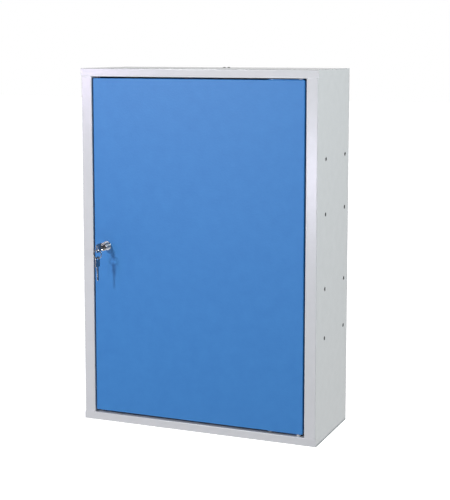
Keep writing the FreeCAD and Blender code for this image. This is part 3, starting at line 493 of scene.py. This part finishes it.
# Lock nut: a hexagon nut run up the barrel's thread, tight against the inside of the skin.
# Zinc plated steel, with both ends chamfered so that only the corners are cut back.
NUT_CHAMFER = 0.5 * MM
NUT_PLAY = 0.25 * MM
NUT_STEPS = 144
NUT_ROWS = 25
nut_low, nut_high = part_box("lock_nut")
nut_half = (nut_high.x - nut_low.x) / 2
nut_turn = full_turn(NUT_STEPS)[None, :]
# Within each sixth of a turn, a flat's distance is the half width over the cosine from its middle
sector = np.pi / 3
hexagon = nut_half / np.cos((nut_turn + sector / 2) % sector - sector / 2)
nut_along = np.linspace(0, nut_high.y - nut_low.y, NUT_ROWS)
from_end = np.minimum(nut_along, nut_along[-1] - nut_along)[:, None]
nut_radius = np.minimum(hexagon, nut_half - NUT_CHAMFER + from_end * math.sqrt(3))
nut_bore = np.full((2, NUT_STEPS), BARREL_RADIUS + NUT_PLAY)
nut_rows = np.vstack([nut_bore[:1], nut_radius, nut_bore[1:]])
nut_steps = np.concatenate([nut_along[:1], nut_along, nut_along[-1:]])[:, None] + nut_low.y
nut_points = turned(nut_rows, nut_steps, nut_turn, lock_x, lock_z)
new_piece("lock_hexagon_nut", nut_points, grid_faces(*nut_points.shape[:2], True, True), zinc,
          "door", "zinc_steel", "lock_nut")

# Lock plug: the core that the key turns, with a keyway in its face and a square tail.
# A zinc die casting, polished and chrome plated. It turns in the housing's bore, and the cam on its
# tail keeps it in.
PLUG_BRIGHT = "#DDDFE1"
PLUG_DIM = "#D3D5D8"
polished_chrome = plated_metal("polished_chrome", PLUG_BRIGHT, PLUG_DIM, CHROME_CLOUD, POLISHED)
dress(polished_chrome, "lock_plug")

# Cam, washer and screw: a stamped steel tongue on the plug's square, held by a cross-recess screw.
# Zinc plated, with the edges broken by tumbling, so each edge shows a thin bright line.
CAM_CORNER = 4 * MM
CAM_SQUARE = 3.6 * MM
SQUARE_CORNER = 0.5 * MM
EDGE_BREAK = 0.3 * MM
EDGE_STEPS = 4
WASHER_BORE = 2.1 * MM
WASHER_RADIUS = 6 * MM
SHANK_RADIUS = 2 * MM
PAN_RADIUS = 4 * MM
PAN_HEIGHT = 2.6 * MM
PAN_DOME = 1.2 * MM
BAR_HALF = 0.55 * MM
BAR_REACH = 2.1 * MM
BAR_SLOPE = 0.25 * MM
RECESS_DEPTH = 1.5 * MM
SCREW_ROUNDS = np.array([0.4, 0.1, 0.2]) * MM
DOME_STEPS = 33
DOME_POWER = 3
CORNER_STEPS = 9


def outline(centre, half, radius, inset):
    """Round a rectangle: each quarter of a turn is an arc about its own corner, moved in by the inset."""
    quarter = np.arange(4)[:, None]
    angle = (quarter + np.linspace(0, 1, CORNER_STEPS)[None, :]) * np.pi / 2
    middle = (quarter + 0.5) * np.pi / 2
    radius = np.broadcast_to(np.asarray(radius, float), 4)[:, None]
    across = np.sign(np.cos(middle)) * (half[0] - radius) + np.cos(angle) * (radius - inset)
    up = np.sign(np.sin(middle)) * (half[1] - radius) + np.sin(angle) * (radius - inset)
    return np.stack([centre[0] + across, centre[1] + up], -1).reshape(-1, 2)


def stamped_plate(outer, hole, thickness, edge):
    """Carry a flat section with rounded edges from a hole's outline out to the plate's own outline.

    Rows run up the hole's wall, over the top face, down the rim and back under. Each row is one
    outline, moved in or out and lowered by the quarter circle of the edge.
    """
    bend = np.linspace(0, np.pi / 2, EDGE_STEPS)
    inset = edge * (1 - np.sin(bend))
    level = thickness / 2 - edge * (1 - np.cos(bend))
    rows = [(hole, -shift, height) for shift, height in zip(inset[::-1], level[::-1])]
    rows += [(outer, shift, height) for shift, height in zip(inset, level)]
    upper = np.stack([np.column_stack([outline(*shape, shift), np.full(4 * CORNER_STEPS, height)])
                      for shape, shift, height in rows])
    return np.concatenate([upper, upper[::-1] * (1, 1, -1)])


def lock_plate(name, node, corner, hole_half, hole_corner):
    """Stamp a plate to the size of a CAD node, with its hole on the lock's axis."""
    low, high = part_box(node)
    middle, half = (low + high) / 2, (high - low) / 2
    plate = stamped_plate(((middle.x, middle.z), (half.x, half.z), corner),
                          ((lock_x, lock_z), (hole_half, hole_half), hole_corner), 2 * half.y, EDGE_BREAK)
    points = plate[..., [0, 2, 1]] + (0, middle.y, 0)
    new_piece(name, points, grid_faces(*points.shape[:2], True, True), zinc,
              "lock_plug", "zinc_steel", node)


lock_plate("lock_cam_tongue", "lock_cam", CAM_CORNER, CAM_SQUARE, SQUARE_CORNER)
lock_plate("cam_flat_washer", "cam_washer", WASHER_RADIUS, WASHER_BORE, WASHER_BORE)


def cross_bar(across, along_bar):
    """One wing of the cross recess: full depth inside its width and length, with sloping walls."""
    width = np.clip((BAR_HALF - np.abs(across)) / BAR_SLOPE, 0, 1)
    return width * np.clip((BAR_REACH - np.abs(along_bar)) / BAR_SLOPE, 0, 1)


screw_low, screw_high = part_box("cam_screw")
screw_length = screw_high.y - screw_low.y
screw_seat = screw_length - PAN_HEIGHT
shank_line = softened([(0, 0), (SHANK_RADIUS, 0), (SHANK_RADIUS, screw_seat), (PAN_RADIUS, screw_seat),
                       (PAN_RADIUS, screw_length - PAN_DOME)], SCREW_ROUNDS)
dome_radius = np.linspace(PAN_RADIUS, 0, DOME_STEPS)
# The head drops from its middle by a power of the share of its radius
dome_along = screw_length - PAN_DOME * (dome_radius / PAN_RADIUS) ** DOME_POWER
dome_line = np.stack([dome_radius, dome_along], -1)
screw_line = np.vstack([shank_line, dome_line])
screw_points = turned(screw_line[:, 0, None], screw_line[:, 1, None], turn, 0, 0)
wings = np.maximum(cross_bar(screw_points[..., 0], screw_points[..., 2]),
                   cross_bar(screw_points[..., 2], screw_points[..., 0]))
screw_points[len(shank_line):, :, 1] -= RECESS_DEPTH * wings[len(shank_line):]
screw_points += (lock_x, screw_low.y, lock_z)
new_piece("cam_pan_screw", screw_points, grid_faces(*screw_points.shape[:2], False, True), zinc,
          "lock_plug", "zinc_steel", "cam_screw")

# Keys: two stamped blanks with a slotted bow, one in the plug and a spare hung on the ring.
# Nickel plated brass, cut along one edge and milled along one face, worn dull by handling.
NICKEL_BRIGHT = "#A3A3A3"
NICKEL_DULL = "#979693"
NICKEL_CLOUD = 5 * MM
NICKEL_ROUGHNESS = 0.38
KEY_LENGTH = 36 * MM
KEY_THICKNESS = 2 * MM
BOW_HALF_LENGTH = 13 * MM
BOW_HALF_WIDTH = 11 * MM
BOW_CORNERS = np.array([2.5, 7.5, 7.5, 2.5]) * MM
BOW_EDGE = 2 * EDGE_BREAK
SLOT_PLACE = 29.5 * MM
SLOT_HALF = 5 * MM
SLOT_RADIUS = 2.5 * MM
NECK_LENGTH = 10 * MM
NECK_HALF = 4.6 * MM
NECK_ROUND = 2.5 * MM
NECK_ROOT = 2 * MM
BLADE_THIN = 0.06 * MM
BLADE_LENGTH = 25 * MM
BLADE_HALF = 3.8 * MM
BLADE_EDGE = 0.25 * MM
BLADE_STEPS = 341
SHOULDER_END = -0.01 * MM
TIP_TAPER = 2.6 * MM
TIP_HALF = 1.2 * MM
BITE_FIRST = 3.5 * MM
BITE_PITCH = 3.4 * MM
BITE_HALF = 1.3 * MM
BITE_FLAT = 0.3 * MM
BITE_DEPTHS = (1.8 * MM, 0.9 * MM, 1.8 * MM, 0.9 * MM, 1.8 * MM)
MILL_DEPTH = 0.5 * MM
MILL_TOP = 2.0 * MM
MILL_BOTTOM = 0.6 * MM
MILL_SLOPE = 0.12 * MM


def key_blade():
    """Loft the neck and blade: at each step along Y one closed section with four rounded corners.

    The upper edge is the blank's half width. The lower edge is that half width less the cuts,
    each a trapezium, and the groove is sunk into one face between two heights.
    """
    y = np.linspace(-NECK_LENGTH - NECK_ROOT, BLADE_LENGTH, BLADE_STEPS)
    from_bow = np.clip(y + NECK_LENGTH, 0, NECK_ROUND)
    flare = NECK_ROUND - np.sqrt(NECK_ROUND ** 2 - (NECK_ROUND - from_bow) ** 2)
    point = np.interp(y, [BLADE_LENGTH - TIP_TAPER, BLADE_LENGTH], [BLADE_HALF, TIP_HALF])
    upper = np.where(y < SHOULDER_END, NECK_HALF + flare, point)
    lower = -upper
    for number, deep in enumerate(BITE_DEPTHS):
        away = np.abs(y - BITE_FIRST - number * BITE_PITCH)
        lower = lower + deep * np.clip((BITE_HALF - away) / (BITE_HALF - BITE_FLAT), 0, 1)
    groove = np.where((y > -NECK_LENGTH / 2) & (y < BLADE_LENGTH - TIP_TAPER), MILL_DEPTH, 0)
    face = (KEY_THICKNESS - BLADE_THIN) / 2
    core = face - BLADE_EDGE
    bend = np.linspace(0, np.pi / 2, EDGE_STEPS)
    out, up = BLADE_EDGE * np.sin(bend), BLADE_EDGE * np.cos(bend)
    top, bottom = upper - BLADE_EDGE, lower + BLADE_EDGE
    loop = [(core + o, top + u) for o, u in zip(out, up)]
    loop += [(face, np.minimum(MILL_TOP, top)),
             (face - groove, np.minimum(MILL_TOP - MILL_SLOPE, top)),
             (face - groove, np.minimum(MILL_BOTTOM + MILL_SLOPE, top)),
             (face, np.minimum(MILL_BOTTOM, top))]
    loop += [(core + u, bottom - o) for o, u in zip(out, up)]
    loop += [(-core - o, bottom - u) for o, u in zip(out, up)]
    loop += [(-core - u, top + o) for o, u in zip(out, up)]
    rows = [np.stack([across + 0 * y, y, height], -1) for across, height in loop]
    return np.stack(rows, 1)


def loose_shape(points, faces):
    """Make a passing object from points and faces, to be joined to another."""
    loose = bpy.data.objects.new("loose", closed_mesh("loose", points, faces))
    bpy.context.scene.collection.objects.link(loose)
    return loose


bow_outline = ((BOW_HALF_LENGTH - KEY_LENGTH, 0), (BOW_HALF_LENGTH, BOW_HALF_WIDTH), BOW_CORNERS)
slot_outline = ((-SLOT_PLACE, 0), (SLOT_RADIUS, SLOT_HALF), SLOT_RADIUS)
bow_plate = stamped_plate(bow_outline, slot_outline, KEY_THICKNESS, BOW_EDGE)
bow = loose_shape(bow_plate[..., [2, 0, 1]], grid_faces(*bow_plate.shape[:2], True, True))
blade_points = key_blade()
blade_rows, blade_columns = blade_points.shape[:2]
blade_faces = grid_faces(blade_rows, blade_columns, False, True).tolist()
blade_faces.append(list(range(blade_columns)))
blade_faces.append(list(range((blade_rows - 1) * blade_columns, blade_rows * blade_columns)))
blade = loose_shape(blade_points, blade_faces)
joined = bow.modifiers.new("joined", "BOOLEAN")
joined.operation = "UNION"
joined.solver = "EXACT"
joined.object = blade
key_mesh = bpy.data.meshes.new_from_object(bow.evaluated_get(bpy.context.evaluated_depsgraph_get()))
key_points = np.empty(3 * len(key_mesh.vertices))
key_mesh.vertices.foreach_get("co", key_points)
key_points = key_points.reshape(-1, 3)
key_faces = [list(polygon.vertices) for polygon in key_mesh.polygons]
for passing in (bow, blade):
    bpy.data.objects.remove(passing)
nickel = plated_metal("nickel_plated_brass", NICKEL_BRIGHT, NICKEL_DULL, NICKEL_CLOUD, NICKEL_ROUGHNESS)
lock_key_place = (lock_x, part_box("key_in_lock")[0].y + KEY_LENGTH, lock_z)
new_piece("lock_key", key_points + lock_key_place, key_faces, nickel, "key", "key_nickel", "key_in_lock")
# The spare hangs blade down: Y and Z change places, and the blade's end turns to the floor
hung_points = key_points[:, [0, 2, 1]] * (1, 1, -1)
spare_low, spare_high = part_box("spare_key")
spare_place = (lock_x, (spare_low.y + spare_high.y) / 2, spare_high.z - KEY_LENGTH)
new_piece("hung_spare_key", hung_points + spare_place, key_faces, nickel,
          "spare_key", "key_nickel", "spare_key")

# Split ring: two close turns of flattened spring wire with a short step from one to the other.
# Nickel plated steel, bright on its rolled faces, sprung open to let the keys on.
RING_BRIGHT = "#C9C9C6"
RING_DIM = "#BFBDB6"
RING_CLOUD = 4 * MM
RING_ROUGHNESS = 0.16
WIRE_DEPTH = 1.5 * MM
WIRE_WIDTH = 0.95 * MM
RING_RADIUS = 10 * MM
TURN_PITCH = 1.42 * MM
STEP_HALF = math.radians(15)
END_HALF = math.radians(17)
WIRE_ROUND = 0.5
WIRE_SIDES = 20
RING_STEPS = 289
ring_low, ring_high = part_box("split_ring")
ring_middle = (ring_low + ring_high) / 2
sweep = np.linspace(END_HALF, 4 * np.pi - END_HALF, RING_STEPS)[:, None]
# The section is a squared-off ellipse: cosine and sine each raised to a power below one
spin = full_turn(WIRE_SIDES)[None, :]
wire_out = np.sign(np.cos(spin)) * np.abs(np.cos(spin)) ** WIRE_ROUND * WIRE_DEPTH / 2
wire_side = np.sign(np.sin(spin)) * np.abs(np.sin(spin)) ** WIRE_ROUND * WIRE_WIDTH / 2
# Half way round, the wire steps over by one pitch along a smooth S
crossing = np.clip((sweep - 2 * np.pi + STEP_HALF) / (2 * STEP_HALF), 0, 1)
shift = (crossing ** 2 * (3 - 2 * crossing) - 0.5) * TURN_PITCH
ring_radius = RING_RADIUS + WIRE_DEPTH / 2 + wire_out
ring_points = np.stack([ring_radius * np.sin(sweep), shift + wire_side, ring_radius * np.cos(sweep)], -1)
ring_points += (ring_middle.x, ring_middle.y, ring_middle.z)
ring_faces = grid_faces(*ring_points.shape[:2], False, True).tolist()
ring_faces.append(list(range(WIRE_SIDES)))
ring_faces.append(list(range((RING_STEPS - 1) * WIRE_SIDES, RING_STEPS * WIRE_SIDES)))
ring_steel = plated_metal("nickel_plated_spring_steel", RING_BRIGHT, RING_DIM, RING_CLOUD, RING_ROUGHNESS)
new_piece("wound_split_ring", ring_points, ring_faces, ring_steel, "ring", "ring_steel", "split_ring")

# Stage: a plain white floor well below the hung cabinet.
# Matt paint that glows by itself, so it stays white to the horizon. It throws no light on the object.
FLOOR_DROP = 1.0
FLOOR_HALF = 40.0
FLOOR_COLOUR = "#F6F6F6"
FLOOR_ROUGHNESS = 0.9
WHITE = "#FFFFFF"
floor_height = cad_box[0].z - FLOOR_DROP
floor_mesh = bpy.data.meshes.new("floor")
floor_mesh.from_pydata([(-FLOOR_HALF, -FLOOR_HALF, floor_height), (FLOOR_HALF, -FLOOR_HALF, floor_height),
                        (FLOOR_HALF, FLOOR_HALF, floor_height), (-FLOOR_HALF, FLOOR_HALF, floor_height)],
                       [], [(0, 1, 2, 3)])
floor = bpy.data.objects.new("floor", floor_mesh)
bpy.context.scene.collection.objects.link(floor)
floor_paint, _ = new_finish("white_floor_paint")
end_finish(floor_paint, add_node(floor_paint, "ShaderNodeBsdfPrincipled",
                                 {"Base Color": linear(FLOOR_COLOUR), "Roughness": FLOOR_ROUGHNESS,
                                  "Emission Color": linear(WHITE), "Emission Strength": 1.0}))
floor_mesh.materials.append(floor_paint)
floor.visible_diffuse = False
floor.visible_glossy = False

# Studio light: a white room whose six walls differ in brightness, and four soft boxes.
# The front and right walls and the ceiling stay dark, so bright metal shows dark faces and clear
# edges. The camera itself sees the room as an even white backdrop.
ROOM_RIGHT = 0.05
ROOM_BACK = 0.98
ROOM_TOP = 0.02
ROOM_LEFT = 0.70
ROOM_FRONT = 0.01
ROOM_FLOOR = 3.15
world = bpy.data.worlds.new("white_room")
bpy.context.scene.world = world
world.use_nodes = True
world.node_tree.nodes.clear()
bpy.context.scene.view_settings.view_transform = "Standard"
heading = add_node(world, "ShaderNodeTexCoord", {})
# Each wall's share is the square of the direction's part towards it, so the shares add up to one
glow = []
for half, walls in (("MAXIMUM", (ROOM_RIGHT, ROOM_BACK, ROOM_TOP)),
                    ("MINIMUM", (ROOM_LEFT, ROOM_FRONT, ROOM_FLOOR))):
    part = add_node(world, "ShaderNodeVectorMath",
                    {0: heading.outputs["Generated"], 1: (0, 0, 0)}, operation=half)
    share = add_node(world, "ShaderNodeVectorMath",
                     {0: part.outputs[0], 1: part.outputs[0]}, operation="MULTIPLY")
    glow.append(add_node(world, "ShaderNodeVectorMath",
                         {0: share.outputs[0], 1: walls}, operation="DOT_PRODUCT"))
strength = add_node(world, "ShaderNodeMath", {0: glow[0].outputs["Value"], 1: glow[1].outputs["Value"]})
room = add_node(world, "ShaderNodeBackground", {"Strength": strength.outputs[0], "Color": linear(WHITE)})
backdrop = add_node(world, "ShaderNodeBackground", {"Strength": 1.0, "Color": linear(WHITE)})
ray = add_node(world, "ShaderNodeLightPath", {})
seen = add_node(world, "ShaderNodeMixShader",
                {0: ray.outputs["Is Camera Ray"], 1: room.outputs[0], 2: backdrop.outputs[0]})
add_node(world, "ShaderNodeOutputWorld", {"Surface": seen.outputs[0]})


def soft_box(name, place, target, size, power, colour):
    """Hang a square lamp at a place in metres, facing a target, with its power in watts."""
    lamp = bpy.data.lights.new(name, "AREA")
    lamp.shape = "RECTANGLE"
    lamp.size = size
    lamp.size_y = size
    lamp.energy = power
    lamp.color = linear(colour)[:3]
    box = bpy.data.objects.new(name, lamp)
    box.location = place
    box.rotation_euler = (Vector(target) - Vector(place)).to_track_quat("-Z", "Y").to_euler()
    bpy.context.scene.collection.objects.link(box)


soft_box("key_box", place=(-1.18, -2.83, 1.225), target=(-0.1, -0.25, 0.0), size=0.3, power=57.5,
         colour="#FEFEFF")
soft_box("corner_box", place=(-1.54, -2.42, 0.43), target=(-0.3, -0.25, 0.4), size=0.3, power=6.6,
         colour="#E4CDFF")
soft_box("front_box", place=(-0.42, -2.42, -0.03), target=(0.1, -0.25, 0.0), size=0.3, power=6.3,
         colour="#E8E3FF")
soft_box("side_box", place=(1.9, -0.6, 0.9), target=(0.31, -0.12, 0.0), size=0.9, power=22.2,
         colour="#F0FAFF")

# Camera: the photograph's view, from the right and a little above the middle.
# A long lens three metres away, with a small shift that sets the object's height in the frame.
CAMERA_PLACE = (1.1952, -2.9592, 0.50)
CAMERA_YAW = 22.41
CAMERA_PITCH = -6.61
CAMERA_LENS = 88.25
CAMERA_SHIFT = -0.12
camera_data = bpy.data.cameras.new("photo_view")
camera_data.lens = CAMERA_LENS
camera_data.shift_y = CAMERA_SHIFT
camera = bpy.data.objects.new("photo_view", camera_data)
camera.location = CAMERA_PLACE
camera.rotation_euler = (math.radians(90 + CAMERA_PITCH), 0.0, math.radians(CAMERA_YAW))
bpy.context.scene.collection.objects.link(camera)
bpy.context.scene.camera = camera
